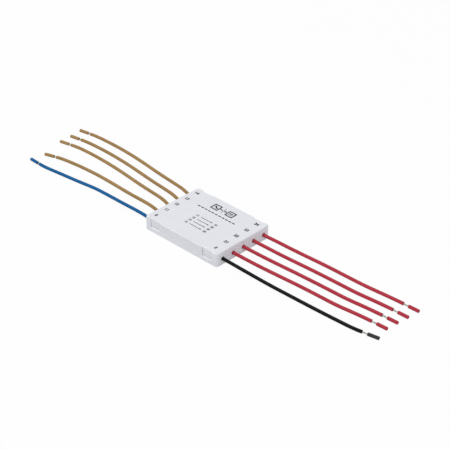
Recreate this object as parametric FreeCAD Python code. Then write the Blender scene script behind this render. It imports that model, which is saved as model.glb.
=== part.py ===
"""Switch decoupler module: a flat snap-together case with four opto-isolated channels on one small board.

One input neutral (blue) and four switch inputs (brown) enter at the -X end. One output ground (black) and
four isolated outputs (red) leave at the +X end. Each wire ends in a half-stripped slug of its own insulation,
which slides along the bare conductor and pulls off before the wire is connected.

Millimetres. The origin is the centre of the case's underside, +X runs from the inputs to the outputs,
+Y runs from the neutral and ground wires to channel four, and +Z is up. The module lies on z = 0.
"""

import FreeCAD, Part
import math
import os

from FreeCAD import Vector

# Case
case_length = 42.0
case_width = 32.0
case_height = 6.5
wall = 1.1
floor_thickness = 1.0
lid_thickness = 1.2
corner_radius = 1.2
inner_corner_radius = 0.4
top_edge_radius = 0.45
bottom_edge_radius = 0.3
seam_chamfer = 0.06
fit_gap = 0.1

# Locating rib under the lid, just inside the walls
rib_height = 0.7
rib_thickness = 0.8

# Snap clips, two along each long side
clip_from_end = 5.8
clip_width = 5.7
clip_recess = 0.5
clip_ledge_height = 2.5
clip_ledge_drop = 0.75
tongue_thickness = 0.7
tongue_end_gap = 0.2
catch_pad_thickness = 0.8
catch_depth = 0.25
catch_height = 0.6

# Circuit board
board_thickness = 1.0
board_end_gap = 2.1
board_side_gap = 1.4
board_corner_radius = 0.5
post_radius = 1.1
post_pin_radius = 0.6
post_pin_height = 0.5
post_from_board_end = 2.3
hold_down_wall = 0.5
isolation_slot_width = 1.0
isolation_slot_length = 3.4

# Channels and their parts
channel_count = 4
channel_from_side = 4.2
row_end_gap = 0.9
series_resistor_length = 3.2
series_resistor_width = 1.6
series_resistor_height = 0.55
output_resistor_length = 2.0
output_resistor_width = 1.25
output_resistor_height = 0.5
capacitor_length = 3.2
capacitor_width = 1.6
capacitor_height = 1.2
diode_length = 2.7
diode_width = 1.6
diode_height = 1.1
optocoupler_length = 4.4
optocoupler_width = 3.9
optocoupler_standoff = 0.1
optocoupler_lid_gap = 0.6
optocoupler_span = 7.0
optocoupler_lead_pitch = 2.54
lead_width = 0.4
lead_thickness = 0.2
lead_foot = 0.6
diode_tab = 0.5
diode_tab_width = 0.9
chip_edge = 0.08
moulding_edge = 0.16
index_dot_radius = 0.3
index_dot_depth = 0.1
index_dot_inset = 0.9

# Wires
holes_per_end = 5
hole_from_side = 3.6
wire_height = 3.0
wire_radius = 0.75
wire_hole_gap = 0.2
conductor_radius = 0.3
bore_gap = 0.05
insulation_inset = 2.6
straight_out = 2.2
solder_pad_length = 2.6
solder_pad_width = 2.0
solder_pad_thickness = 0.05
solder_film = 0.05
solder_radius = 0.9
conductor_past_pad = 0.2
solder_height = 0.75
surface_gap = 0.01
input_slug_length = 5.0
input_slug_gap = 1.1
output_slug_length = 5.0
output_slug_gap = 2.4

# Each wire leaves one end of the case straight: its name, the end (-1 inputs, +1 outputs), its place in the
# row of holes, and the points that it follows from there. A point is its distance out from the end wall, its
# distance to the +Y side of its hole, and its height above where it rests on the surface.
WIRES = [
    ("blue_wire", -1, 0, [
        (8.0, 0.3, 2.3), (14.0, 0.8, 1.74), (21.0, 1.6, 0.89), (29.0, 2.3, 0.19),
        (38.0, 2.4, 0.0), (47.5, 0.95, 0.0), (57.0, -0.1, 0.0), (64.5, -1.05, 0.0), (69.0, -1.5, 0.0),
        (71.7, -1.4, 0.0)]),
    ("brown_wire_1", -1, 1, [
        (7.8, 1.15, 2.35), (14.0, 1.95, 1.74), (21.0, 2.85, 0.89), (29.0, 3.85, 0.19),
        (38.0, 4.5, 0.0), (48.0, 4.6, 0.0), (57.0, 4.1, 0.0), (64.0, 3.3, 0.0), (68.5, 2.6, 0.0),
        (70.9, 1.85, 0.0)]),
    ("brown_wire_2", -1, 2, [
        (7.2, 2.0, 2.45), (14.0, 3.4, 1.74), (21.0, 4.8, 0.89), (29.0, 6.3, 0.19),
        (38.0, 7.6, 0.0), (48.0, 8.55, 0.0), (58.0, 9.0, 0.0), (67.0, 8.9, 0.0), (72.1, 8.4, 0.0),
        (74.7, 7.85, 0.0)]),
    ("brown_wire_3", -1, 3, [
        (7.5, 1.8, 2.4), (14.0, 3.15, 1.74), (21.0, 4.65, 0.89), (29.0, 6.25, 0.19),
        (38.0, 7.6, 0.0), (48.0, 8.6, 0.0), (58.0, 9.1, 0.0), (67.5, 8.95, 0.0), (72.5, 8.6, 0.0),
        (75.0, 8.15, 0.0)]),
    ("brown_wire_4", -1, 4, [
        (7.5, 1.9, 2.4), (14.0, 3.3, 1.74), (21.0, 4.85, 0.89), (29.0, 6.45, 0.19),
        (38.0, 7.9, 0.0), (48.0, 9.0, 0.0), (58.0, 9.55, 0.0), (67.5, 9.5, 0.0), (73.2, 9.2, 0.0),
        (76.05, 8.7, 0.0)]),
    ("black_wire", 1, 0, [
        (7.5, 0.2, 1.94), (13.0, 0.95, 1.14), (19.0, 1.6, 0.44), (26.0, 2.0, 0.04),
        (34.0, 2.25, 0.0), (43.0, 2.45, 0.0), (52.0, 2.75, 0.0), (60.6, 3.15, 0.0), (66.7, 3.5, 0.0),
        (70.15, 4.15, 0.0)]),
    ("red_wire_1", 1, 1, [
        (7.5, 0.4, 1.94), (13.0, 1.4, 1.14), (19.0, 2.5, 0.44), (26.0, 3.4, 0.04),
        (34.0, 3.9, 0.0), (43.0, 4.15, 0.0), (52.0, 4.3, 0.0), (59.3, 5.2, 0.0), (65.4, 5.75, 0.0),
        (68.5, 5.9, 0.0)]),
    ("red_wire_2", 1, 2, [
        (7.5, 0.45, 1.94), (13.0, 1.5, 1.14), (19.0, 2.6, 0.44), (26.0, 3.45, 0.04),
        (34.0, 3.8, 0.0), (43.0, 4.05, 0.0), (52.0, 4.2, 0.0), (59.4, 5.0, 0.0), (65.7, 5.5, 0.0),
        (69.05, 5.65, 0.0)]),
    ("red_wire_3", 1, 3, [
        (7.5, 0.45, 1.94), (13.0, 1.4, 1.14), (19.0, 2.45, 0.44), (26.0, 3.3, 0.04),
        (34.0, 3.65, 0.0), (43.0, 3.85, 0.0), (52.0, 3.95, 0.0), (60.0, 4.7, 0.0), (66.4, 5.2, 0.0),
        (69.75, 5.3, 0.0)]),
    ("red_wire_4", 1, 4, [
        (7.5, 0.6, 1.94), (13.0, 1.6, 1.14), (19.0, 2.6, 0.44), (26.0, 3.45, 0.04),
        (34.0, 3.8, 0.0), (43.0, 3.85, 0.0), (52.0, 4.0, 0.0), (60.4, 4.7, 0.0), (66.8, 5.15, 0.0),
        (70.25, 5.25, 0.0)]),
]
arc_share = 0.45

# Worked out from the sizes above
wall_top = case_height - lid_thickness
lid_middle = wall_top + lid_thickness / 2
half_length = case_length / 2
half_width = case_width / 2
clip_offset = half_length - clip_from_end
tongue_outer = half_width - clip_recess
tongue_inner = tongue_outer - tongue_thickness
catch_pad_outer = tongue_inner - fit_gap / 2
catch_pad_inner = catch_pad_outer - catch_pad_thickness
catch_pad_top = wall_top - rib_height - fit_gap
tongue_bottom = clip_ledge_height + tongue_end_gap
board_length = case_length - 2 * (wall + board_end_gap)
board_width = case_width - 2 * (wall + board_side_gap)
pad_top = wire_height - conductor_radius - solder_film
board_top = pad_top - solder_pad_thickness
board_bottom = board_top - board_thickness
wire_pitch = (case_width - 2 * hole_from_side) / (holes_per_end - 1)
channel_pitch = (board_width - 2 * channel_from_side) / (channel_count - 1)
post_x = board_length / 2 - post_from_board_end
post_y = 1.5 * wire_pitch
optocoupler_height = wall_top - optocoupler_lid_gap - optocoupler_standoff - board_top
wire_rest = wire_radius + surface_gap
conductor_start = board_length / 2 - solder_pad_length + conductor_past_pad
row_end = board_length / 2 - solder_pad_length - row_end_gap


def save(shape, node):
    """Writes one named piece, after checking that it is sound."""
    if not shape.isValid() or shape.Volume <= 0:
        raise ValueError(node + " isn't a sound solid")
    shape.exportStep(os.path.join("parts", node + ".step"))
    print(f"{node}: {len(shape.Solids)} solid(s), {shape.Volume:.2f} mm3")


def block(x_low, x_high, y_low, y_high, z_low, z_high):
    """A box between two corners."""
    return Part.makeBox(x_high - x_low, y_high - y_low, z_high - z_low, Vector(x_low, y_low, z_low))


def centred_block(length, width, height, centre_x, centre_y, z_low):
    """A box standing at z_low, centred in plan."""
    return block(centre_x - length / 2, centre_x + length / 2,
                 centre_y - width / 2, centre_y + width / 2, z_low, z_low + height)


def edges_along_z(shape):
    """The straight upright edges of a shape."""
    return [e for e in shape.Edges
            if isinstance(e.Curve, Part.Line) and abs(abs(e.Curve.Direction.z) - 1) < 1e-6]


def edges_at_height(shape, height):
    """The edges that lie level at one height."""
    return [e for e in shape.Edges
            if abs(e.BoundBox.ZMin - height) < 1e-6 and abs(e.BoundBox.ZMax - height) < 1e-6]


def rounded_slab(length, width, radius, z_low, z_high):
    """A centred slab with round corners in plan."""
    slab = block(-length / 2, length / 2, -width / 2, width / 2, z_low, z_high)
    return slab.makeFillet(radius, edges_along_z(slab)) if radius > 0 else slab


def clip_places():
    """Where the four snap clips stand: their x, and the side of the case."""
    return [(x, side) for side in (-1, 1) for x in (-clip_offset, clip_offset)]


def on_side(side, x_low, x_high, y_low, y_high, z_low, z_high):
    """A box given for the +Y side of the case, mirrored where the side is -1."""
    if side < 0:
        y_low, y_high = -y_high, -y_low
    return block(x_low, x_high, y_low, y_high, z_low, z_high)


def wedge(side, x_low, x_high, points):
    """A prism along X from a profile of (y, z) points for the +Y side."""
    corners = [Vector(x_low, side * y, z) for y, z in points]
    face = Part.Face(Part.makePolygon(corners + corners[:1]))
    return face.extrude(Vector(x_high - x_low, 0, 0))


def hole_y(place):
    """The y of a wire hole, from its place in the row."""
    return (place - (holes_per_end - 1) / 2) * wire_pitch


def post_places():
    """Where the board's four posts stand."""
    return [(x, y) for x in (-post_x, post_x) for y in (-post_y, post_y)]


def cylinder(radius, x, y, z_low, z_high):
    """An upright cylinder."""
    return Part.makeCylinder(radius, z_high - z_low, Vector(x, y, z_low), Vector(0, 0, 1))


def make_base_tray():
    """The lower shell: floor, walls, clip notches, catch pads, wire holes and the board's posts."""
    outer = rounded_slab(case_length, case_width, corner_radius, 0, wall_top)
    outer = outer.makeFillet(bottom_edge_radius, edges_at_height(outer, 0))
    outer = outer.makeChamfer(seam_chamfer, edges_at_height(outer, wall_top))
    inner = rounded_slab(case_length - 2 * wall, case_width - 2 * wall, inner_corner_radius,
                         floor_thickness, case_height)
    tray = outer.cut(inner)
    for x, side in clip_places():
        low, high = x - clip_width / 2, x + clip_width / 2
        notch = on_side(side, low, high, half_width - 2 * wall, case_width, clip_ledge_height, case_height)
        pad = on_side(side, low - wall, high + wall, catch_pad_inner, half_width - wall,
                      floor_thickness / 2, catch_pad_top)
        ledge = on_side(side, low - wall, high + wall, catch_pad_inner, half_width - wall,
                        floor_thickness / 2, clip_ledge_height)
        face = on_side(side, low, high, catch_pad_outer, case_width, clip_ledge_height, case_height)
        pocket = on_side(side, low, high, catch_pad_outer - catch_depth - fit_gap / 2, catch_pad_outer,
                         clip_ledge_height, tongue_bottom + catch_height + fit_gap / 2)
        # The ledge slopes down outwards, so that a blade finds the end of the tongue
        slope = wedge(side, low, high, [
            (tongue_outer, clip_ledge_height),
            (tongue_outer + 2 * clip_recess, clip_ledge_height - 2 * clip_ledge_drop),
            (tongue_outer + 2 * clip_recess, clip_ledge_height)])
        tray = tray.cut(notch).fuse(pad).cut(face).cut(pocket).fuse(ledge).cut(slope)
    for end in (-1, 1):
        for place in range(holes_per_end):
            hole = Part.makeCylinder(wire_radius + wire_hole_gap, wall * 3,
                                     Vector(end * (half_length - wall * 2), hole_y(place), wire_height),
                                     Vector(end, 0, 0))
            tray = tray.cut(hole)
    for x, y in post_places():
        tray = tray.fuse(cylinder(post_radius, x, y, floor_thickness / 2, board_bottom))
        tray = tray.fuse(cylinder(post_pin_radius, x, y, board_bottom / 2, board_top + post_pin_height))
    return tray.removeSplitter()


def make_top_cover():
    """The lid: a flat plate with a locating rib, four snap tongues and four pillars that hold the board."""
    plate = rounded_slab(case_length, case_width, corner_radius, wall_top, case_height)
    for x, side in clip_places():
        low, high = x - clip_width / 2, x + clip_width / 2
        plate = plate.cut(on_side(side, low, high, tongue_outer, case_width, 0, 2 * case_height))
    plate = plate.makeFillet(top_edge_radius, edges_at_height(plate, case_height))
    plate = plate.makeChamfer(seam_chamfer, edges_at_height(plate, wall_top))
    rib_length = case_length - 2 * (wall + fit_gap)
    rib_width = case_width - 2 * (wall + fit_gap)
    rib = rounded_slab(rib_length, rib_width, inner_corner_radius, wall_top - rib_height, wall_top)
    rib = rib.cut(rounded_slab(rib_length - 2 * rib_thickness, rib_width - 2 * rib_thickness, 0, 0, wall_top))
    cover = plate.fuse(rib)
    for x, side in clip_places():
        low, high = x - clip_width / 2 + fit_gap, x + clip_width / 2 - fit_gap
        tongue = on_side(side, low, high, tongue_inner, tongue_outer, tongue_bottom, lid_middle)
        barb_top = tongue_bottom + catch_height
        barb = wedge(side, low, high, [(tongue_inner, tongue_bottom), (tongue_inner, barb_top),
                                       (tongue_inner - catch_depth, barb_top)])
        cover = cover.fuse(tongue).fuse(barb)
    for x, y in post_places():
        bore_radius = post_pin_radius + fit_gap
        pillar = cylinder(bore_radius + hold_down_wall, x, y, board_top + fit_gap / 2, lid_middle)
        bore = cylinder(bore_radius, x, y, 0, board_top + post_pin_height + fit_gap)
        cover = cover.fuse(pillar.cut(bore))
    return cover.removeSplitter()


def channel_y(channel):
    """The y of a channel's row of parts."""
    return (channel - (channel_count - 1) / 2) * channel_pitch


def row_places():
    """The x of each part in a channel's row, spread evenly between the two lines of wire pads."""
    lengths = {
        "first_resistor": series_resistor_length,
        "second_resistor": series_resistor_length,
        "diode": diode_length + 2 * diode_tab,
        "optocoupler": optocoupler_span,
        "output_resistor": output_resistor_length,
        "capacitor": capacitor_length,
    }
    step = (2 * row_end - sum(lengths.values())) / (len(lengths) + 1)
    places, x = {}, -row_end
    for part, length in lengths.items():
        x += step
        places[part] = x + length / 2
        x += length
    return places


def make_circuit_board(places):
    """The bare board, with its pin holes and one milled isolation slot under each optocoupler."""
    board = rounded_slab(board_length, board_width, board_corner_radius, board_bottom, board_top)
    for x, y in post_places():
        board = board.cut(cylinder(post_pin_radius + fit_gap / 2, x, y, 0, case_height))
    for channel in range(channel_count):
        board = board.cut(centred_block(isolation_slot_width, isolation_slot_length, case_height,
                                        places["optocoupler"], channel_y(channel), 0))
    return board


def make_chip(length, width, height, x, y):
    """A small leadless part: a block with softened edges, lying on the board."""
    chip = centred_block(length, width, height, x, y, board_top)
    return chip.makeFillet(chip_edge, chip.Edges)


def make_diode(x, y):
    """A moulded diode: its body and the two flat tabs that it stands on."""
    body = centred_block(diode_length, diode_width, diode_height, x, y, board_top)
    body = body.makeFillet(moulding_edge, edges_at_height(body, board_top + diode_height))
    tabs = centred_block(diode_length + 2 * diode_tab, diode_tab_width, lead_thickness, x, y, board_top)
    return body.fuse(tabs).removeSplitter()


def make_optocoupler(x, y):
    """One isolator: a moulded body with an index dot, and four bent leads that reach the board."""
    half_body = optocoupler_length / 2
    body_bottom = board_top + optocoupler_standoff
    body_top = body_bottom + optocoupler_height
    body = centred_block(optocoupler_length, optocoupler_width, optocoupler_height, x, y, body_bottom)
    body = body.makeFillet(moulding_edge, body.Edges)
    dot_x, dot_y = x - half_body + index_dot_inset, y + optocoupler_width / 2 - index_dot_inset
    body = body.cut(cylinder(index_dot_radius, dot_x, dot_y, body_top - index_dot_depth, body_top))
    shoulder = body_bottom + optocoupler_height / 2
    solids = [body]
    for end in (-1, 1):
        reach = optocoupler_span / 2
        bend = reach - lead_foot
        profile = [(half_body, shoulder), (bend + lead_thickness, shoulder),
                   (bend + lead_thickness, board_top + lead_thickness), (reach, board_top + lead_thickness),
                   (reach, board_top), (bend, board_top), (bend, shoulder - lead_thickness),
                   (half_body, shoulder - lead_thickness)]
        for row in (-1, 1):
            lead_y = y + row * optocoupler_lead_pitch / 2 - lead_width / 2
            corners = [Vector(x + end * px, lead_y, pz) for px, pz in profile]
            face = Part.Face(Part.makePolygon(corners + corners[:1]))
            solids.append(face.extrude(Vector(0, lead_width, 0)))
    return Part.makeCompound(solids)


def make_solder_pads():
    """The ten tinned pads that the wires lie on."""
    pads = []
    for name, end, place, route in WIRES:
        centre = end * (board_length - solder_pad_length) / 2
        pads.append(centred_block(solder_pad_length, solder_pad_width, solder_pad_thickness,
                                  centre, hole_y(place), board_top))
    return Part.makeCompound(pads)


def make_solder_joints():
    """The ten domes of solder, each wetted round its conductor."""
    joints = []
    ball_radius = (solder_radius ** 2 + solder_height ** 2) / (2 * solder_height)
    for name, end, place, route in WIRES:
        centre = Vector(end * (board_length - solder_pad_length) / 2, hole_y(place),
                        pad_top + solder_height - ball_radius)
        dome = Part.makeSphere(ball_radius, centre)
        dome = dome.common(centred_block(4 * solder_radius, 4 * solder_radius, case_height,
                                         centre.x, centre.y, pad_top))
        stub = Part.makeCylinder(conductor_radius, board_length,
                                 Vector(end * conductor_start, hole_y(place), wire_height), Vector(end, 0, 0))
        joints.append(dome.cut(stub))
    return Part.makeCompound(joints)


def route_points(end, place, route):
    """A wire's corner points, from the end of its insulation inside the case to its far end."""
    exit_rise = wire_height - wire_rest
    straight = [(-insulation_inset, 0.0, exit_rise), (straight_out, 0.0, exit_rise)]
    return [Vector(end * (half_length + out), hole_y(place) + aside, wire_rest + up)
            for out, aside, up in straight + route]


def bend_of(before, corner, after):
    """The tangent arc at a corner: its radius, its first point, its middle and its last point."""
    back, on = before - corner, after - corner
    turn = math.pi - back.getAngle(on)
    reach = arc_share * min(back.Length, on.Length)
    radius = reach / math.tan(turn / 2)
    back.normalize()
    on.normalize()
    inward = back + on
    inward.normalize()
    centre = corner + inward * (radius / math.cos(turn / 2))
    return radius, corner + back * reach, centre - inward * radius, corner + on * reach


def path_along(points, start=None, finish=None):
    """Straight runs joined by tangent arcs, and the arcs' radii. The ends can be set further along."""
    edges, radii = [], []
    at = start or points[0]
    for before, corner, after in zip(points, points[1:], points[2:]):
        radius, first, middle, last = bend_of(before, corner, after)
        edges.append(Part.LineSegment(at, first).toShape())
        edges.append(Part.Arc(first, middle, last).toShape())
        radii.append(radius)
        at = last
    edges.append(Part.LineSegment(at, finish or points[-1]).toShape())
    wire = Part.Wire(edges)
    return wire, radii


def rod_along(path, radius):
    """A round rod that follows a path."""
    start = path.OrderedVertexes[0].Point
    first = path.OrderedEdges[0]
    ring = Part.Wire([Part.Circle(start, first.tangentAt(first.FirstParameter), radius).toShape()])
    return path.makePipeShell([ring], True, False)


def make_wire(name, end, place, route):
    """One lead: insulation with its bore, the conductor, and the slug of insulation left on its end."""
    points = route_points(end, place, route)
    slug_length, slug_gap = ((input_slug_length, input_slug_gap) if end < 0
                             else (output_slug_length, output_slug_gap))
    onward = points[-1] - points[-2]
    onward.normalize()
    path, radii = path_along(points)
    insulation = rod_along(path, wire_radius).cut(rod_along(path, conductor_radius + bore_gap))
    section = math.pi * (wire_radius ** 2 - (conductor_radius + bore_gap) ** 2)
    tip = points[-1] + onward * slug_length
    pad_start = Vector(end * conductor_start, hole_y(place), wire_height)
    full_path, _ = path_along(points, pad_start, tip)
    conductor = rod_along(full_path, conductor_radius)
    slug_start = points[-1] + onward * slug_gap
    slug = Part.makeCylinder(wire_radius, slug_length, slug_start, onward)
    slug = slug.cut(Part.makeCylinder(conductor_radius + bore_gap, slug_length, slug_start, onward))
    print(f"{name}: length {path.Length:.1f} mm, with its end slug "
          f"{path.Length + slug_gap + slug_length:.1f} mm, least radius {min(radii):.1f} mm, "
          f"volume {insulation.Volume:.2f} against {section * path.Length:.2f} mm3")
    print(f"{name}: bend radii {', '.join(f'{r:.0f}' for r in radii)} mm; "
          f"slug axis ({onward.x:.4f}, {onward.y:.4f}, {onward.z:.4f}) "
          f"from ({slug_start.x:.3f}, {slug_start.y:.3f}, {slug_start.z:.3f})")
    save(insulation, name + "_insulation")
    save(conductor, name + "_conductor")
    save(slug, name + "_end_slug")


def main():
    os.makedirs("parts", exist_ok=True)
    places = row_places()
    channels = range(channel_count)
    save(make_base_tray(), "base_tray")
    save(make_top_cover(), "top_cover")
    save(make_circuit_board(places), "circuit_board")
    for channel in channels:
        save(make_optocoupler(places["optocoupler"], channel_y(channel)), f"optocoupler_{channel + 1}")
    chips = {
        "series_resistors": (("first_resistor", "second_resistor"),
                             (series_resistor_length, series_resistor_width, series_resistor_height)),
        "output_resistors": (("output_resistor",),
                             (output_resistor_length, output_resistor_width, output_resistor_height)),
        "filter_capacitors": (("capacitor",), (capacitor_length, capacitor_width, capacitor_height)),
    }
    for node, (parts, size) in chips.items():
        save(Part.makeCompound([make_chip(*size, places[part], channel_y(channel))
                                for channel in channels for part in parts]), node)
    save(Part.makeCompound([make_diode(places["diode"], channel_y(channel)) for channel in channels]),
         "rectifier_diodes")
    save(make_solder_pads(), "solder_pads")
    save(make_solder_joints(), "solder_joints")
    for wire in WIRES:
        make_wire(*wire)


main()
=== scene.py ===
# %% [markdown]
# Switch decoupler module
#
# This lesson dresses a small in-wall electronic module: a flat, pale, snap-together case with five flexible
# leads out of each end. The shapes that have to fit each other are fixed by the part that is loaded first.
# Blender adds what the eye reads: spark-eroded plastic, pad-printed marks, soft PVC leads that lie on the
# table, and twisted tinned strands where the insulation has been cut and slid along.

# %% Load the fixed frame
import math

import bmesh
import bpy
from mathutils import Matrix, Vector, noise


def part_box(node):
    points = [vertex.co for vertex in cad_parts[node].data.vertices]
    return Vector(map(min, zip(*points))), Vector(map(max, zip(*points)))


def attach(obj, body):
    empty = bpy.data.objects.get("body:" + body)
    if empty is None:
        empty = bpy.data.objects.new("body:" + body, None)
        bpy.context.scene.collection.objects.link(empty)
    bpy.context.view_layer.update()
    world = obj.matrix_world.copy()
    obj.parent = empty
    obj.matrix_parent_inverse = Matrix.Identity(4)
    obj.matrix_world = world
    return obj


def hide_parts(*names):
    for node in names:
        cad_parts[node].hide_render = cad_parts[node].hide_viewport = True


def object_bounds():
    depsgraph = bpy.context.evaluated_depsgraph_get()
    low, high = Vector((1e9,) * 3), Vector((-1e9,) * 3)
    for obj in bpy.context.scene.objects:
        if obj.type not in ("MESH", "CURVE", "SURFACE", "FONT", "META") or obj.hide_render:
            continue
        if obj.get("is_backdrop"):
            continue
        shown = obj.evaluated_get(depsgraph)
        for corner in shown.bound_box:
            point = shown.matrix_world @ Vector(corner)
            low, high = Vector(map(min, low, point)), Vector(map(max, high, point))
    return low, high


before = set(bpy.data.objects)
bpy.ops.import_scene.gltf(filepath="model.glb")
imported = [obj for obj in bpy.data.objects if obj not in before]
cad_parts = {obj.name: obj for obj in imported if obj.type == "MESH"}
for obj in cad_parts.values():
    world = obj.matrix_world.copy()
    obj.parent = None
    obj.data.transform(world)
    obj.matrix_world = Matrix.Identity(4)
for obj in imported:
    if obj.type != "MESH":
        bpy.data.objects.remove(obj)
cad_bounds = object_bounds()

MM = 0.001
CASE = "module"

# %% [markdown]
# The camera comes first, because everything else is judged through it. The photograph was taken with a long
# lens from above the front right corner, with the module's long axis running from upper left to lower right.
# A camera is easiest to place by the direction that it looks from, so its place is worked out from an
# azimuth, an elevation and a distance, and its axes are the columns of its matrix: right, up and back.

# %% The camera at the photograph's angle
IMAGE_PIXELS = 450
FOCAL_PIXELS = 1443.2
SENSOR_WIDTH_MM = 36.0
CAMERA_AZIMUTH = math.radians(42.905)
CAMERA_ELEVATION = math.radians(33.048)
CAMERA_ROLL = math.radians(1.172)
CAMERA_DISTANCE = 612.15 * MM
PICTURE_CENTRE_RIGHT = 7.65 * MM
PICTURE_CENTRE_UP = 3.36 * MM
NEAREST_SEEN = 10 * MM

back = Vector((math.sin(CAMERA_AZIMUTH) * math.cos(CAMERA_ELEVATION),
               -math.cos(CAMERA_AZIMUTH) * math.cos(CAMERA_ELEVATION),
               math.sin(CAMERA_ELEVATION)))
level_right = Vector((math.cos(CAMERA_AZIMUTH), math.sin(CAMERA_AZIMUTH), 0.0))
level_up = back.cross(level_right)
right = level_right * math.cos(CAMERA_ROLL) + level_up * math.sin(CAMERA_ROLL)
up = level_up * math.cos(CAMERA_ROLL) - level_right * math.sin(CAMERA_ROLL)

lens = bpy.data.cameras.new("photo_camera")
lens.sensor_width = SENSOR_WIDTH_MM
lens.lens = FOCAL_PIXELS * SENSOR_WIDTH_MM / IMAGE_PIXELS
lens.clip_start = NEAREST_SEEN
camera = bpy.data.objects.new("photo_camera", lens)
place = right * PICTURE_CENTRE_RIGHT + up * PICTURE_CENTRE_UP + back * CAMERA_DISTANCE
camera.matrix_world = Matrix.Translation(place) @ Matrix((right, up, back)).transposed().to_4x4()
bpy.context.scene.collection.objects.link(camera)
bpy.context.scene.camera = camera
print("lens", round(lens.lens, 2), "mm, camera at", [round(c, 4) for c in place])

# %% [markdown]
# A lead is a soft thing of a fixed length. It leaves its hole, sinks to the table in a long shallow slope,
# and then lies in one lazy curve. The route of each lead is a short list of points, given as they are in the
# part's source: how far out from the end wall, how far to the side of its hole, and how high above where it
# rests. A smooth NURBS line led by that list gives the curve that PVC takes by itself. Only the first point
# outside the wall differs: the input leads lean in their holes, so theirs is nearer to the wall here.

# %% The ten leads and their routes
HALF_LENGTH = 21.0 * MM
HOLE_PITCH = 6.2 * MM
MIDDLE_HOLE = 2
HOLE_HEIGHT = 3.0 * MM
WIRE_RADIUS = 0.75 * MM
WIRE_REST = 0.76 * MM

# in mm, as the routes are: how far in a line starts, and how far out its next point is at each end
INSIDE_THE_CASE = 2.6
STRAIGHT_OUT = {-1: 1.0, 1: 2.2}

# name, end (-1 inputs, +1 outputs), place in the row of holes, length of insulation in mm, route in mm
LEADS = [
    ("blue_wire", -1, 0, 74.7, [
        (8.0, 0.3, 2.3), (14.0, 0.8, 1.74), (21.0, 1.6, 0.89), (29.0, 2.3, 0.19),
        (38.0, 2.4, 0.0), (47.5, 0.95, 0.0), (57.0, -0.1, 0.0), (64.5, -1.05, 0.0), (69.0, -1.5, 0.0),
        (71.7, -1.4, 0.0)]),
    ("brown_wire_1", -1, 1, 74.1, [
        (7.8, 1.15, 2.35), (14.0, 1.95, 1.74), (21.0, 2.85, 0.89), (29.0, 3.85, 0.19),
        (38.0, 4.5, 0.0), (48.0, 4.6, 0.0), (57.0, 4.1, 0.0), (64.0, 3.3, 0.0), (68.5, 2.6, 0.0),
        (70.9, 1.85, 0.0)]),
    ("brown_wire_2", -1, 2, 78.4, [
        (7.2, 2.0, 2.45), (14.0, 3.4, 1.74), (21.0, 4.8, 0.89), (29.0, 6.3, 0.19),
        (38.0, 7.6, 0.0), (48.0, 8.55, 0.0), (58.0, 9.0, 0.0), (67.0, 8.9, 0.0), (72.1, 8.4, 0.0),
        (74.7, 7.85, 0.0)]),
    ("brown_wire_3", -1, 3, 78.6, [
        (7.5, 1.8, 2.4), (14.0, 3.15, 1.74), (21.0, 4.65, 0.89), (29.0, 6.25, 0.19),
        (38.0, 7.6, 0.0), (48.0, 8.6, 0.0), (58.0, 9.1, 0.0), (67.5, 8.95, 0.0), (72.5, 8.6, 0.0),
        (75.0, 8.15, 0.0)]),
    ("brown_wire_4", -1, 4, 79.7, [
        (7.5, 1.9, 2.4), (14.0, 3.3, 1.74), (21.0, 4.85, 0.89), (29.0, 6.45, 0.19),
        (38.0, 7.9, 0.0), (48.0, 9.0, 0.0), (58.0, 9.55, 0.0), (67.5, 9.5, 0.0), (73.2, 9.2, 0.0),
        (76.05, 8.7, 0.0)]),
    ("black_wire", 1, 0, 73.0, [
        (7.5, 0.2, 1.94), (13.0, 0.95, 1.14), (19.0, 1.6, 0.44), (26.0, 2.0, 0.04),
        (34.0, 2.25, 0.0), (43.0, 2.45, 0.0), (52.0, 2.75, 0.0), (60.6, 3.15, 0.0), (66.7, 3.5, 0.0),
        (70.15, 4.15, 0.0)]),
    ("red_wire_1", 1, 1, 71.6, [
        (7.5, 0.4, 1.94), (13.0, 1.4, 1.14), (19.0, 2.5, 0.44), (26.0, 3.4, 0.04),
        (34.0, 3.9, 0.0), (43.0, 4.15, 0.0), (52.0, 4.3, 0.0), (59.3, 5.2, 0.0), (65.4, 5.75, 0.0),
        (68.5, 5.9, 0.0)]),
    ("red_wire_2", 1, 2, 72.1, [
        (7.5, 0.45, 1.94), (13.0, 1.5, 1.14), (19.0, 2.6, 0.44), (26.0, 3.45, 0.04),
        (34.0, 3.8, 0.0), (43.0, 4.05, 0.0), (52.0, 4.2, 0.0), (59.4, 5.0, 0.0), (65.7, 5.5, 0.0),
        (69.05, 5.65, 0.0)]),
    ("red_wire_3", 1, 3, 72.8, [
        (7.5, 0.45, 1.94), (13.0, 1.4, 1.14), (19.0, 2.45, 0.44), (26.0, 3.3, 0.04),
        (34.0, 3.65, 0.0), (43.0, 3.85, 0.0), (52.0, 3.95, 0.0), (60.0, 4.7, 0.0), (66.4, 5.2, 0.0),
        (69.75, 5.3, 0.0)]),
    ("red_wire_4", 1, 4, 73.3, [
        (7.5, 0.6, 1.94), (13.0, 1.6, 1.14), (19.0, 2.6, 0.44), (26.0, 3.45, 0.04),
        (34.0, 3.8, 0.0), (43.0, 3.85, 0.0), (52.0, 4.0, 0.0), (60.4, 4.7, 0.0), (66.8, 5.15, 0.0),
        (70.25, 5.25, 0.0)]),
]
print("leads:", len(LEADS), "route points each:", len(LEADS[0][4]) + 2)


# %% A smooth line through a route
POINTS_PER_SPAN = 8


def hole_y(place_in_row):
    """The y of a wire hole."""
    return (place_in_row - MIDDLE_HOLE) * HOLE_PITCH


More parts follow.
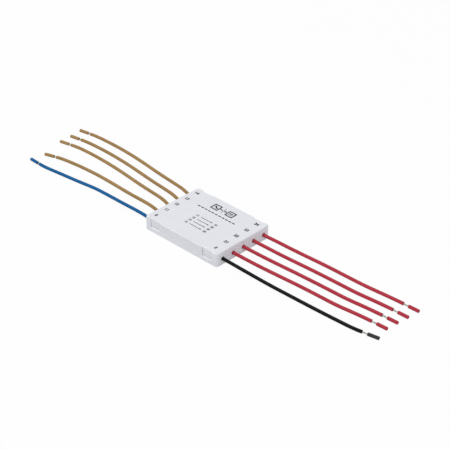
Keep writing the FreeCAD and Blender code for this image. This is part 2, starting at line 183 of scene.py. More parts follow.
def route_in_space(end, place_in_row, route):
    """A route's points in the frame, from inside the case to the end of the insulation."""
    rise = (HOLE_HEIGHT - WIRE_REST) / MM
    straight = [(-INSIDE_THE_CASE, 0.0, rise), (STRAIGHT_OUT[end], 0.0, rise)]
    return [Vector((end * (HALF_LENGTH + out * MM), hole_y(place_in_row) + aside * MM,
                    WIRE_REST + above * MM)) for out, aside, above in straight + route]


def smooth_line(points):
    """The points that Blender draws along a NURBS line with these control points."""
    drawing = bpy.data.curves.new("lead_route", "CURVE")
    drawing.dimensions = "3D"
    spline = drawing.splines.new("NURBS")
    spline.points.add(len(points) - 1)
    for control, point in zip(spline.points, points):
        control.co = (*point, 1.0)
    spline.order_u = 3
    spline.use_endpoint_u = True
    spline.resolution_u = POINTS_PER_SPAN
    holder = bpy.data.objects.new("lead_route", drawing)
    bpy.context.scene.collection.objects.link(holder)
    line = bpy.data.meshes.new_from_object(holder.evaluated_get(bpy.context.evaluated_depsgraph_get()))
    drawn = [vertex.co.copy() for vertex in line.vertices]
    bpy.data.objects.remove(holder)
    bpy.data.meshes.remove(line)
    return drawn


first_line = smooth_line(route_in_space(*LEADS[0][1:3], LEADS[0][4]))
print("points drawn along the first lead:", len(first_line))


# %% [markdown]
# Everything on a lead is round and follows its line: the insulation, the short slug that was cut from it, and
# each strand of the conductor. A curve with a bevel would give a plain pipe with flat, perfect ends. Cut PVC
# has a bore, a slightly ragged lip and a rounded rim, so the rings of each tube are placed one by one. The
# cross axes at each point are turned from the last ones by the least amount, or the tube would twist.

# %% Rings along a line
class Line:
    """A line with, at any distance along it, a point and two cross axes.

    Past its last point it runs on straight, in the direction `beyond`.
    """

    def __init__(self, points, beyond):
        self.points = points
        self.distances = [0.0]
        for before, after in zip(points, points[1:]):
            self.distances.append(self.distances[-1] + (after - before).length)
        self.length = self.distances[-1]
        self.ways = [(after - before).normalized() for before, after in zip(points, points[1:])]
        self.ways.append(beyond.normalized())
        self.sides = [Vector((0, 0, 1)).cross(self.ways[0]).normalized()]
        for before, after in zip(self.ways, self.ways[1:]):
            turned = before.rotation_difference(after) @ self.sides[-1]
            self.sides.append((turned - after * turned.dot(after)).normalized())

    def at(self, distance):
        """The point, the sideways axis and the upward axis at a distance from the start."""
        run = 0
        while run < len(self.ways) - 1 and self.distances[run + 1] < distance:
            run += 1
        point = self.points[run] + self.ways[run] * (distance - self.distances[run])
        return point, self.sides[run], self.ways[run].cross(self.sides[run])


RAGGED_CHANGE = 3


def ring_of(shape, layer, line, distance, radius, sides, ragged=0.0, aside=(0.0, 0.0)):
    """Adds one ring of points round a line, and notes where each lies on the lead pulled straight.

    A ragged ring is pushed along by up to `ragged`, and never the other way, so that a cut face stays clear
    of the one that it is slid against.
    """
    ring = []
    for step in range(sides):
        angle = math.tau * step / sides
        along = distance + ragged * (0.5 + 0.5 * noise.noise(
            Vector((RAGGED_CHANGE * math.cos(angle), RAGGED_CHANGE * math.sin(angle), distance / MM))))
        centre, side, lift = line.at(along)
        across = aside[0] + radius * math.cos(angle)
        above = aside[1] + radius * math.sin(angle)
        vertex = shape.verts.new(centre + side * across + lift * above)
        vertex[layer] = (across, above, along)
        ring.append(vertex)
    return ring


def join_rings(shape, rings, closed):
    """Skins a row of rings. A closed row is a tube with a bore, and an open one is capped."""
    pairs = list(zip(rings, rings[1:])) + ([(rings[-1], rings[0])] if closed else [])
    for first, second in pairs:
        for step in range(len(first)):
            following = (step + 1) % len(first)
            shape.faces.new((first[step], first[following], second[following], second[step]))
    if not closed:
        shape.faces.new(list(reversed(rings[0])))
        shape.faces.new(rings[-1])


def finished_piece(shape, name, body):
    """Turns a bmesh into a smooth-shaded object that rides on a body."""
    mesh = bpy.data.meshes.new(name)
    bmesh.ops.recalc_face_normals(shape, faces=shape.faces)
    for face in shape.faces:
        face.smooth = True
    shape.to_mesh(mesh)
    shape.free()
    piece = bpy.data.objects.new(name, mesh)
    bpy.context.scene.collection.objects.link(piece)
    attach(piece, body)
    return piece


first_ends = [Vector((out, aside, above)) for out, aside, above in LEADS[0][4][-2:]]
print("first lead's line:", round(Line(first_line, first_ends[1] - first_ends[0]).length / MM, 1), "mm")

# %% [markdown]
# The insulation is a tube of soft PVC. Wire strippers cut it square, but the blade drags: the rim is a little
# rounded and the face a little uneven. The outside needs a ring at each point of its line, while the bore
# hides behind the strands and manages with far fewer.

# %% Insulation tubes and end slugs
BORE_RADIUS = 0.35 * MM
TUBE_SIDES = 24
RIM_ROUNDING = 0.07 * MM
RIM_MIDDLE = 0.3 * RIM_ROUNDING
CUT_RAGGED = 0.09 * MM
BORE_EVERY = 4
SHARP_FROM = math.radians(50)


def tube_piece(name, line, start, finish, outside_at, bore_at, body):
    """A cut length of insulation along a line, as one closed skin with its bore."""
    shape = bmesh.new()
    layer = shape.verts.layers.float_vector.new("lie")
    near_rim = [(start, WIRE_RADIUS - RIM_ROUNDING),
                (start + RIM_MIDDLE, WIRE_RADIUS - RIM_MIDDLE),
                (start + RIM_ROUNDING, WIRE_RADIUS)]
    far_rim = [(finish - (distance - start), radius) for distance, radius in reversed(near_rim)]
    rows = [(distance, radius, CUT_RAGGED) for distance, radius in near_rim]
    rows += [(distance, WIRE_RADIUS, 0.0) for distance in outside_at]
    rows += [(distance, radius, -CUT_RAGGED) for distance, radius in far_rim]
    rows += [(finish, BORE_RADIUS, -CUT_RAGGED)]
    rows += [(distance, BORE_RADIUS, 0.0) for distance in reversed(bore_at)]
    rows += [(start, BORE_RADIUS, CUT_RAGGED)]
    rings = [ring_of(shape, layer, line, distance, radius, TUBE_SIDES, ragged)
             for distance, radius, ragged in rows]
    join_rings(shape, rings, closed=True)
    piece = finished_piece(shape, name, body)
    piece.data.set_sharp_from_angle(angle=SHARP_FROM)
    return piece


print("a tube has", TUBE_SIDES, "sides, and a rim rounded by", round(RIM_ROUNDING / MM, 2), "mm")

# %% [markdown]
# Thin hook-up wire of this size holds seven tinned copper strands: one in the middle and six laid round it in
# a long twist. A solid rod would shine like a nail, so each strand is its own thin tube. The rings are close
# together where the strands show, at the board and at the bared end, and far apart inside the insulation.

# %% Twisted strands
STRAND_RADIUS = 0.11 * MM
STRAND_SIDES = 8
LAY_PITCH = 8.0 * MM
STRANDS_ROUND_THE_MIDDLE = 6
INSIDE_TO_PAD = 3.0 * MM
SHOWN_STEP, HIDDEN_STEP, LEAST_STEP = 0.35 * MM, 1.6 * MM, 0.2 * MM
HIDDEN_AFTER, SHOWN_BEFORE_THE_CUT = 1.0 * MM, 3.0 * MM
TIP_UNEVEN, TIP_CHANGE = 0.25 * MM, 1.7


def strand_stations(length, bare_end):
    """Distances for the strands' rings: close where they show, and far apart in the insulation."""
    stations, distance = [], -INSIDE_TO_PAD
    last = length + bare_end
    while distance < last - LEAST_STEP:
        stations.append(distance)
        hidden = HIDDEN_AFTER < distance < length - SHOWN_BEFORE_THE_CUT
        distance += HIDDEN_STEP if hidden else SHOWN_STEP
    return stations + [last]


def strands_piece(name, line, bare_end):
    """All seven strands of one lead, from the solder pad to the tip."""
    shape = bmesh.new()
    layer = shape.verts.layers.float_vector.new("lie")
    stations = strand_stations(line.length, bare_end)
    for strand in range(STRANDS_ROUND_THE_MIDDLE + 1):
        cut_back = TIP_UNEVEN * noise.noise(Vector((strand * TIP_CHANGE, line.length / MM, 0.0)))
        rings = []
        for station in stations:
            distance = station if station < stations[-1] else station - abs(cut_back)
            turn = math.tau * (distance / LAY_PITCH + strand / STRANDS_ROUND_THE_MIDDLE)
            reach = 2 * STRAND_RADIUS if strand < STRANDS_ROUND_THE_MIDDLE else 0.0
            rings.append(ring_of(shape, layer, line, distance, STRAND_RADIUS, STRAND_SIDES,
                                 aside=(reach * math.cos(turn), reach * math.sin(turn))))
        join_rings(shape, rings, closed=False)
    return finished_piece(shape, name, CASE)


print("strands per lead:", STRANDS_ROUND_THE_MIDDLE + 1, "of", round(2 * STRAND_RADIUS / MM, 2), "mm")

# %% [markdown]
# Each lead is now made from end to end. On the real module the insulation is cut a few millimetres from the
# tip and slid along a little, which keeps the strands together until the wire is used. That slug is a piece
# of its own, because it pulls off. Each lead's drawn length is printed beside its real length.

# %% Make every lead
INPUT_SLUG, OUTPUT_SLUG = (5.0 * MM, 1.1 * MM), (5.0 * MM, 2.4 * MM)
SLUG_RINGS = 6

tubes, slugs, conductors = {}, {}, []
for name, end, place_in_row, length_mm, route in LEADS:
    colour = name.split("_")[0]
    controls = route_in_space(end, place_in_row, route)
    line_points = smooth_line(controls)
    line = Line(line_points, controls[-1] - controls[-2])
    slug_length, slug_gap = INPUT_SLUG if end < 0 else OUTPUT_SLUG
    tube = tube_piece(name, line, 0.0, line.length, line.distances[1:-1], line.distances[1:-1:BORE_EVERY],
                      CASE)
    strands = strands_piece(f"{name}_strands", line, slug_length)
    slug_start = line.length + slug_gap
    slug_rings = [slug_start + slug_length * (step + 1) / (SLUG_RINGS + 1) for step in range(SLUG_RINGS)]
    slug = tube_piece(f"{name}_slug", line, slug_start, slug_start + slug_length, slug_rings, slug_rings,
                      f"{name}_slug")
    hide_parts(f"{name}_insulation")
    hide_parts(f"{name}_conductor")
    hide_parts(f"{name}_end_slug")
    hole_y(place_in_row)
    tubes.setdefault(colour, []).append(tube)
    slugs.setdefault(colour, []).append(slug)
    conductors.append(strands)
    print(name, "line", round(line.length / MM, 1), "mm against", length_mm, "mm")

# %% [markdown]
# Every finish here is a small tree of nodes. Written node by node it would hide the idea, so one class
# wraps an output socket and lets Python's own operators add the Math nodes: `1 - mask` and `grain * 0.2`
# then read as they would on paper. Everything else, from a noise texture to the shader itself, comes from
# one method that sets a node's choices first and then its sockets. Colours never go through a Math node,
# which would turn them grey, so they have a Mix of their own.


# %% A socket that does arithmetic
class Flow:
    """One output socket in a node tree."""

    def __init__(self, socket):
        self.socket = socket

    @staticmethod
    def node(tree, kind, settings=None, sockets=None, output=0):
        """Adds any node: its settings first, then the values or links of its sockets."""
        made = tree.nodes.new(kind)
        for name, value in (settings or {}).items():
            setattr(made, name, value)
        for name, value in (sockets or {}).items():
            if isinstance(value, Flow):
                tree.links.new(value.socket, made.inputs[name])
            else:
                made.inputs[name].default_value = value
        return Flow(made.outputs[output])

    def _math(self, operation, first, second):
        return Flow.node(self.socket.id_data, "ShaderNodeMath", {"operation": operation},
                         {0: first, 1: second})

    def __add__(self, other):
        return self._math("ADD", self, other)

    def __sub__(self, other):
        return self._math("SUBTRACT", self, other)

    def __rsub__(self, other):
        return self._math("SUBTRACT", other, self)

    def __mul__(self, other):
        return self._math("MULTIPLY", self, other)

    def __gt__(self, other):
        return self._math("GREATER_THAN", self, other)

    def __lt__(self, other):
        return self._math("LESS_THAN", self, other)

    __radd__ = __add__
    __rmul__ = __mul__


def mix_colour(tree, factor, first, second):
    """One colour into another."""
    return Flow.node(tree, "ShaderNodeMix", {"data_type": "RGBA"}, {0: factor, 6: first, 7: second}, 2)


def stretch(tree, vector, scales):
    """A vector with each of its axes scaled."""
    return Flow.node(tree, "ShaderNodeVectorMath", {"operation": "MULTIPLY"}, {0: vector, 1: scales})


def grain(tree, vector, size, detail=2.0):
    """Noise from 0 to 1 whose patches are about `size` metres across."""
    return Flow.node(tree, "ShaderNodeTexNoise", None,
                     {"Vector": vector, "Scale": 1 / size, "Detail": detail})


def bump(tree, height, depth, strength):
    """A surface normal from a height of 0 to 1 that stands for `depth` metres."""
    return Flow.node(tree, "ShaderNodeBump", None,
                     {"Height": height, "Distance": depth, "Strength": strength})


def lead_out(tree, shader, kind):
    """Joins a shader to the tree's output."""
    tree.links.new(shader.socket, tree.nodes.new(kind).inputs["Surface"])


def in_the_frame(tree):
    """Where a point of the surface is, in metres."""
    return Flow.node(tree, "ShaderNodeTexCoord", output="Object")


def finish(name, sockets_of):
    """A material: `sockets_of` takes its tree and returns what goes into the shader's sockets."""
    material = bpy.data.materials.new(name)
    material.use_nodes = True
    tree = material.node_tree
    tree.nodes.clear()
    shader = Flow.node(tree, "ShaderNodeBsdfPrincipled", None, sockets_of(tree))
    lead_out(tree, shader, "ShaderNodeOutputMaterial")
    return material


def give(material, pieces):
    """Puts a material on pieces that were made here."""
    for piece in pieces:
        piece.data.materials.append(material)


def linear(red, green, blue):
    """A colour as seen on a screen, from 0 to 255, in the linear values that a shader takes."""
    return tuple(((c / 255 + 0.055) / 1.055) ** 2.4 if c > 10 else c / 255 / 12.92
                 for c in (red, green, blue)) + (1.0,)


print("screen grey 128 is", round(linear(128, 128, 128)[0], 3), "in a shader")

# %% [markdown]
# PVC insulation is drawn through a die while it is hot, so its skin carries faint lengthwise lines, a soft
# orange peel and slow changes of pigment. All three are noise in the space of the lead pulled straight, which
# each tube's points remember as the attribute `lie`. Squeezing its third axis draws the patches out along it.

# %% PVC for the leads
PVC_COLOURS = {
    "blue": (linear(2, 73, 131), linear(20, 109, 167)),
    "brown": (linear(141, 106, 56), linear(181, 148, 99)),
    "black": (linear(3, 3, 3), linear(8, 8, 8)),
    "red": (linear(160, 33, 48), linear(198, 66, 82)),
}
PVC_GLOSS, PVC_ROUGHNESS = 0.1, 0.36
LINES_APART, LINES_DRAWN_OUT = 0.12 * MM, 0.05
PIGMENT_PATCH, PIGMENT_DRAWN_OUT = 1.6 * MM, 0.4
PEEL_SIZE, DUST_PATCH = 0.09 * MM, 0.7 * MM


def pvc(colour_pair, roughness):
    """The sockets of drawn PVC in a pair of near colours."""
    def sockets_of(tree):
        lie = Flow.node(tree, "ShaderNodeAttribute", {"attribute_name": "lie"}, output="Vector")
        lines = grain(tree, stretch(tree, lie, (1.0, 1.0, LINES_DRAWN_OUT)), LINES_APART)
        pigment = grain(tree, stretch(tree, lie, (1.0, 1.0, PIGMENT_DRAWN_OUT)), PIGMENT_PATCH, 3.0)
        peel = grain(tree, lie, PEEL_SIZE)
        dusty = grain(tree, lie, DUST_PATCH, 4.0)
        return {
            "Base Color": mix_colour(tree, pigment * 0.75 + lines * 0.25, *colour_pair),
            "Roughness": roughness + 0.14 * dusty + 0.06 * lines,
            "Normal": bump(tree, peel * 0.4 + lines * 0.6, 0.01 * MM, 0.5),
            "Specular IOR Level": PVC_GLOSS,
        }
    return sockets_of


for colour, pair in PVC_COLOURS.items():
    give(finish(f"{colour}_pvc", pvc(pair, PVC_ROUGHNESS)), tubes[colour])
print("PVC colours:", ", ".join(PVC_COLOURS))

# %% [markdown]
# A slug has been gripped by the strippers and pushed along, so its skin is duller and a shade paler than the
# lead beside it. That shows most on black. It is the same PVC with a rougher skin and a thin chalky bloom.

# %% Handled PVC for the slugs
BLOOM = linear(150, 148, 146)
BLOOM_SHARE = {"blue": 0.02, "brown": 0.02, "black": 0.16, "red": 0.02}
BLOOM_ON_DARK = 0.6
HANDLED_ROUGHNESS = 0.5


def toward(colour, other, share):
    """A colour moved part of the way to another."""
    return tuple(a + (b - a) * share for a, b in zip(colour, other))


for colour, (dark, light) in PVC_COLOURS.items():
    share = BLOOM_SHARE[colour]
    handled = (toward(dark, BLOOM, share * BLOOM_ON_DARK), toward(light, BLOOM, share))
    give(finish(f"{colour}_pvc_handled", pvc(handled, HANDLED_ROUGHNESS)), slugs[colour])
print("slugs:", sum(len(pieces) for pieces in slugs.values()))

# %% [markdown]
# Tinned copper is a soft silver with a warm cast. The tin is wiped on in a bath, so it is not evenly bright:
# it has duller patches along the strand. Metal shows what is round it, and here that is a white studio.

# %% Tin on the strands
TIN_BRIGHT, TIN_DULL = linear(184, 182, 175), linear(122, 120, 113)
TIN_PATCH, TIN_DRAWN_OUT = 0.25 * MM, 0.2


def tin(tree):
    lie = Flow.node(tree, "ShaderNodeAttribute", {"attribute_name": "lie"}, output="Vector")
    wiped = grain(tree, stretch(tree, lie, (1.0, 1.0, TIN_DRAWN_OUT)), TIN_PATCH, 3.0)
    return {
        "Base Color": mix_colour(tree, wiped, TIN_BRIGHT, TIN_DULL),
        "Metallic": 1.0,
        "Roughness": 0.28 + 0.2 * wiped,
        "Normal": bump(tree, wiped, 0.006 * MM, 0.5),
    }


give(finish("tinned_strands", tin), conductors)
print("tinned strands on", len(conductors), "leads")

# %% [markdown]
# The case is moulded in a pale grey engineering plastic. The mould was spark-eroded, which leaves a fine,
# even, matt grain that you feel more than see, and the plastic flows with very slight changes of shade. The
# grain must be at its real size, a tenth of a millimetre, or the case looks like a rock. The lid is polished
# a little where hands and packaging rub it, so the roughness drifts slowly over several millimetres. The
# underside keeps the rings of the four pins that pushed the moulding out.

# %% Spark-eroded plastic for the case
CASE_PALE, CASE_SHADE = linear(230, 231, 236), linear(223, 224, 231)
CASE_GRAIN, FLOW_PATCH, RUBBED_PATCH = 0.11 * MM, 6.0 * MM, 3.0 * MM
EJECTOR_RADIUS, EJECTOR_LIP = 1.5 * MM, 0.12 * MM
EJECTOR_SHADE, EJECTOR_SHARE = linear(150, 152, 158), 0.6
EJECTOR_PLACES = [(x * MM, y * MM) for x in (-15, 15) for y in (-10.5, 10.5)]
UNDERSIDE_UP_TO = 0.1 * MM


def ejector_rings(tree, place):
    """1 on the thin circles that the mould's ejector pins leave on the underside, and 0 elsewhere."""
    flat = stretch(tree, place, (1.0, 1.0, 0.0))
    marks = 0.0
    for x, y in EJECTOR_PLACES:
        reach = Flow.node(tree, "ShaderNodeVectorMath", {"operation": "DISTANCE"},
                          {0: flat, 1: (x, y, 0.0)}, "Value")
        marks = marks + (reach > EJECTOR_RADIUS - EJECTOR_LIP) * (reach < EJECTOR_RADIUS)
    height = Flow.node(tree, "ShaderNodeSeparateXYZ", None, {0: place}, "Z")
    return marks * (height < UNDERSIDE_UP_TO)


def case_plastic(tree):
    place = in_the_frame(tree)
    spark = grain(tree, place, CASE_GRAIN, 3.0)
    flow = grain(tree, stretch(tree, place, (0.4, 1.0, 1.0)), FLOW_PATCH)
    rubbed = grain(tree, place, RUBBED_PATCH, 4.0)
    marks = ejector_rings(tree, place)
    shaded = mix_colour(tree, flow, CASE_PALE, CASE_SHADE)
    return {
        "Base Color": mix_colour(tree, marks * EJECTOR_SHARE, shaded, EJECTOR_SHADE),
        "Roughness": 0.44 + 0.1 * rubbed + 0.05 * spark,
        "Normal": bump(tree, spark - marks, 0.01 * MM, 0.45),
        "Specular IOR Level": 0.4,
    }


def dress(material, *names):
    """Gives a material to pieces of the frame."""
    for name in names:
        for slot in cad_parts[name].material_slots:
            slot.material = material


dress(finish("spark_eroded_plastic", case_plastic), "base_tray", "top_cover")
print("case in one plastic, grain", round(CASE_GRAIN / MM, 2), "mm")

# %% [markdown]
# The board inside is never seen unless the case is opened, but it deserves its own finishes. Solder mask is
# glossy green over a glass weave. The pads are flat tin, the solder is bright and slightly frosted, the
# moulded parts are sooty black epoxy, the capacitors a biscuit ceramic, and the resistors a dark glaze. One
# noise drives colour, roughness and bump together in all but the mask, so one helper writes their sockets.

# %% Finishes for the board
WEAVE_SIZE, WEAVE_DISTORTION = 2.2 * MM, 0.4


def solder_mask(tree):
    place = in_the_frame(tree)
    warp, weft = [Flow.node(tree, "ShaderNodeTexWave", {"bands_direction": direction},
                            {"Vector": place, "Scale": 1 / WEAVE_SIZE, "Distortion": WEAVE_DISTORTION})
                  for direction in "XY"]
    weave = warp * weft
    return {"Base Color": mix_colour(tree, weave, linear(18, 82, 44), linear(30, 104, 58)),
            "Roughness": 0.25 + 0.1 * weave, "Coat Weight": 0.4, "Normal": bump(tree, weave, 0.01 * MM, 0.4)}


def speckled(patch, detail, colours, roughness, rougher_by, depth, bump_strength, metallic=0.0, gloss=0.5):
    """The sockets of a finish with one noise in patches of `patch` metres.

    From one colour to the other the roughness rises by `rougher_by` and the surface by `depth` metres.
    """
    def sockets_of(tree):
        speck = grain(tree, in_the_frame(tree), patch, detail)
        return {
            "Base Color": mix_colour(tree, speck, *colours),
            "Roughness": roughness + rougher_by * speck,
            "Normal": bump(tree, speck, depth, bump_strength),
            "Metallic": metallic,
            "Specular IOR Level": gloss,
        }
    return sockets_of


pad_tin = speckled(patch=0.5 * MM, detail=3.0, colours=(TIN_BRIGHT, TIN_DULL), roughness=0.32,
                   rougher_by=0.15, depth=0.01 * MM, bump_strength=0.4, metallic=1.0)
solder = speckled(patch=0.2 * MM, detail=4.0, colours=(linear(214, 214, 214), linear(180, 180, 182)),
                  roughness=0.22, rougher_by=0.2, depth=0.008 * MM, bump_strength=0.5, metallic=1.0)
epoxy = speckled(patch=0.07 * MM, detail=3.0, colours=(linear(28, 28, 29), linear(44, 43, 43)),
                 roughness=0.55, rougher_by=0.15, depth=0.012 * MM, bump_strength=0.6)
ceramic = speckled(patch=0.15 * MM, detail=4.0, colours=(linear(176, 142, 104), linear(150, 118, 84)),
                   roughness=0.5, rougher_by=0.1, depth=0.008 * MM, bump_strength=0.4)
glaze = speckled(patch=0.4 * MM, detail=2.0, colours=(linear(22, 24, 30), linear(38, 40, 46)),
                 roughness=0.2, rougher_by=0.15, depth=0.01 * MM, bump_strength=0.4)

BOARD_FINISHES = {
    "green_solder_mask": (solder_mask, ["circuit_board"]),
    "pad_tin": (pad_tin, ["solder_pads"]),
    "frosted_solder": (solder, ["solder_joints"]),
    "moulded_epoxy": (epoxy, ["rectifier_diodes"] + [f"optocoupler_{n}" for n in range(1, 5)]),
    "biscuit_ceramic": (ceramic, ["filter_capacitors"]),
    "resistor_glaze": (glaze, ["series_resistors", "output_resistors"]),
}
for name, (sockets_of, nodes) in BOARD_FINISHES.items():
    dress(finish(name, sockets_of), *nodes)
print("board finishes:", len(BOARD_FINISHES))

# %% [markdown]
# The lid is pad-printed: a silicone pad presses a film of ink about a hundredth of a millimetre thick onto
# the plastic. A texture would blur at this size, so each mark is a thin prism that stands on the lid. Plain
# numbers mark the ten leads: 0 for the two common ones, 11 to 14 for the inputs and 21 to 24 for the outputs.

# %% Numbers beside the leads
LID_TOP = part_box("top_cover")[1][2]
INK_HEIGHT, INK_SUNK = 0.010 * MM, 0.005 * MM
NUMBER_HEIGHT = 1.75 * MM
LEFT_COLUMN_X, RIGHT_COLUMN_X = -17.9 * MM, 17.0 * MM
LEFT_NUMBERS, RIGHT_NUMBERS = ("0", "11", "12", "13", "14"), ("0", "21", "22", "23", "24")
FIGURE_THICKNESS, FIGURE_BOLDNESS, FIGURE_SMOOTHNESS = 0.5, 0.05, 3
MERGED_WITHIN = 0.0005 * MM
prints = []


def number_outline(text):
    """The mesh of a number in Blender's own plain typeface, not yet at its real size."""
    writing = bpy.data.curves.new("number", "FONT")
    writing.body = text
    writing.extrude = FIGURE_THICKNESS
    writing.offset = FIGURE_BOLDNESS
    writing.resolution_u = FIGURE_SMOOTHNESS
    holder = bpy.data.objects.new("number", writing)
    bpy.context.scene.collection.objects.link(holder)
    mesh = bpy.data.meshes.new_from_object(holder.evaluated_get(bpy.context.evaluated_depsgraph_get()))
    bpy.data.objects.remove(holder)
    return mesh


def printed_number(name, text, x, y, height):
    """A number in ink on the lid, centred on a point."""
    shape = bmesh.new()
    shape.from_mesh(number_outline(text))
    low = [min(v.co[axis] for v in shape.verts) for axis in range(3)]
    high = [max(v.co[axis] for v in shape.verts) for axis in range(3)]
    scale = height / (high[1] - low[1])
    middle = [(l + h) / 2 for l, h in zip(low, high)]
    for vertex in shape.verts:
        across, above, level = vertex.co
        vertex.co = (x + (across - middle[0]) * scale, y + (above - middle[1]) * scale,
                     LID_TOP + (INK_HEIGHT if level > 0 else -INK_SUNK))
    ink_piece(shape, name)


def ink_piece(shape, name):
    """Turns a bmesh into a flat-shaded print that rides on the case."""
    mesh = bpy.data.meshes.new(name)
    bmesh.ops.remove_doubles(shape, verts=shape.verts, dist=MERGED_WITHIN)
    bmesh.ops.recalc_face_normals(shape, faces=shape.faces)
    shape.to_mesh(mesh)
    shape.free()
    piece = bpy.data.objects.new(name, mesh)
    bpy.context.scene.collection.objects.link(piece)
    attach(piece, CASE)
    prints.append(piece)


for column_x, texts in ((LEFT_COLUMN_X, LEFT_NUMBERS), (RIGHT_COLUMN_X, RIGHT_NUMBERS)):
    side_name = "input" if column_x < 0 else "output"
    for place_in_row, text in enumerate(texts):
        printed_number(f"{side_name}_number_{place_in_row}", text, column_x, hole_y(place_in_row),
                       NUMBER_HEIGHT)
print("numbers printed:", len(prints), "lid top at", round(LID_TOP / MM, 2), "mm")

# %% [markdown]
# In the middle stands a generic pictogram of what the module does: a mains wave in one box acts across a
# dashed isolation barrier on a clean direct current in the other. Strokes are laid as short prisms along a
# path of points, mitred at each corner, so that one helper draws boxes, waves, arrows and rules alike.

# %% A pictogram of an isolated signal
STROKE = 0.58 * MM
LEAST_MITRE_COSINE = 0.5
UNDER_THE_HEAD = 0.1 * MM


def ink_stroke(shape, points, width, closed=False):
    """Adds one inked line of a given width through points on the lid."""
    count = len(points)
    rows = []
    for index, (x, y) in enumerate(points):
        before = points[(index - 1) % count] if closed or index else None
        after = points[(index + 1) % count] if closed or index < count - 1 else None
        ways = []
        if before:
            ways.append(Vector((x - before[0], y - before[1])).normalized())
        if after:
            ways.append(Vector((after[0] - x, after[1] - y)).normalized())
        way = sum(ways, Vector((0.0, 0.0))).normalized()
        mitre = width / 2 / max(way.dot(ways[0]), LEAST_MITRE_COSINE)
        across = Vector((-way.y, way.x)) * mitre
        rows.append([shape.verts.new((x + side * across.x, y + side * across.y, LID_TOP + level))
                     for side, level in ((1, INK_HEIGHT), (-1, INK_HEIGHT), (-1, -INK_SUNK), (1, -INK_SUNK))])
    pairs = list(zip(rows, rows[1:])) + ([(rows[-1], rows[0])] if closed else [])
    for first, second in pairs:
        for corner in range(4):
            following = (corner + 1) % 4
            shape.faces.new((first[corner], first[following], second[following], second[corner]))
    if not closed:
        shape.faces.new(rows[0])
        shape.faces.new(list(reversed(rows[-1])))


def ink_patch(shape, corners):
    """Adds one solid inked shape."""
    top = [shape.verts.new((x, y, LID_TOP + INK_HEIGHT)) for x, y in corners]
    low = [shape.verts.new((x, y, LID_TOP - INK_SUNK)) for x, y in corners]
    shape.faces.new(top)
    shape.faces.new(list(reversed(low)))
    for index in range(len(corners)):
        following = (index + 1) % len(corners)
        shape.faces.new((top[following], top[index], low[index], low[following]))


def box_outline(x_low, x_high, y_low, y_high):
    """The four corners of a box on the lid."""
    return [(x_low, y_low), (x_high, y_low), (x_high, y_high), (x_low, y_high)]


BOX_X, BOX_WIDE, SIGN_LOW, SIGN_HIGH = 2.4 * MM, 3.6 * MM, 8.4 * MM, 11.8 * MM
WAVE_HALF, WAVE_RISE, WAVE_STEPS = 1.1 * MM, 0.7 * MM, 12
LEVEL_HALF, LEVEL_RISE, DASH_PITCH, DASH_HALF = 1.1 * MM, 0.5 * MM, 0.78 * MM, 0.28 * MM
ARROW_TIP, ARROW_BACK, ARROW_HALF, ARROW_SPACE = 2.0 * MM, 0.95 * MM, 0.75 * MM, 0.55 * MM
BARRIER_PITCH, BARRIER_DASH, BARRIER_STROKE = 0.95 * MM, 0.6 * MM, 0.4 * MM
BARRIER_DASHES, BARRIER_LOW = 4, SIGN_LOW - 0.03 * MM
sign_middle = (SIGN_LOW + SIGN_HIGH) / 2
pictogram = bmesh.new()
ink_stroke(pictogram, box_outline(-BOX_X - BOX_WIDE, -BOX_X, SIGN_LOW, SIGN_HIGH), STROKE, closed=True)
ink_stroke(pictogram, box_outline(BOX_X, BOX_X + BOX_WIDE, SIGN_LOW, SIGN_HIGH), STROKE, closed=True)
ink_stroke(pictogram, [(-BOX_X - BOX_WIDE / 2 + WAVE_HALF * (step / WAVE_STEPS - 1),
                        sign_middle + WAVE_RISE * math.sin(math.pi * step / WAVE_STEPS))
                       for step in range(2 * WAVE_STEPS + 1)], STROKE)
level_x, above, below = BOX_X + BOX_WIDE / 2, sign_middle + LEVEL_RISE, sign_middle - LEVEL_RISE
ink_stroke(pictogram, [(level_x - LEVEL_HALF, above), (level_x + LEVEL_HALF, above)], STROKE)
for dash in (-1, 0, 1):
    centre = level_x + dash * DASH_PITCH
    ink_stroke(pictogram, [(centre - DASH_HALF, below), (centre + DASH_HALF, below)], STROKE)
ink_stroke(pictogram, [(-ARROW_TIP, sign_middle), (-ARROW_SPACE, sign_middle)], STROKE)
ink_stroke(pictogram, [(ARROW_SPACE, sign_middle), (ARROW_BACK + UNDER_THE_HEAD, sign_middle)], STROKE)
ink_patch(pictogram, [(ARROW_BACK, sign_middle - ARROW_HALF), (ARROW_TIP, sign_middle),
                      (ARROW_BACK, sign_middle + ARROW_HALF)])
for dash in range(BARRIER_DASHES):
    low = BARRIER_LOW + dash * BARRIER_PITCH
    ink_stroke(pictogram, [(0.0, low), (0.0, low + BARRIER_DASH)], BARRIER_STROKE)
ink_piece(pictogram, "isolation_pictogram")
print("pictogram from", round((-BOX_X - BOX_WIDE) / MM, 1), "to", round((BOX_X + BOX_WIDE) / MM, 1), "mm")

# %% [markdown]
# Under the pictogram runs a dashed rule, and under that a small table says which input acts on which output:
# four rows, each with its input number, a thin arrow and its output number. It holds nothing but numbers.

# %% A dashed rule and the table of channels
RULE_Y, RULE_HALF, RULE_DASH, RULE_SPACE = 5.8 * MM, 11.0 * MM, 1.5 * MM, 0.5 * MM
ROW_HEIGHT = 1.25 * MM
ROW_Y = (-0.2 * MM, -2.5 * MM, -4.8 * MM, -7.1 * MM)
ROW_NUMBER_X, ROW_ARROW_HALF, ROW_ARROW_STROKE = 5.3 * MM, 3.4 * MM, 0.3 * MM
ROW_HEAD_LONG, ROW_HEAD_HALF = 0.9 * MM, 0.45 * MM

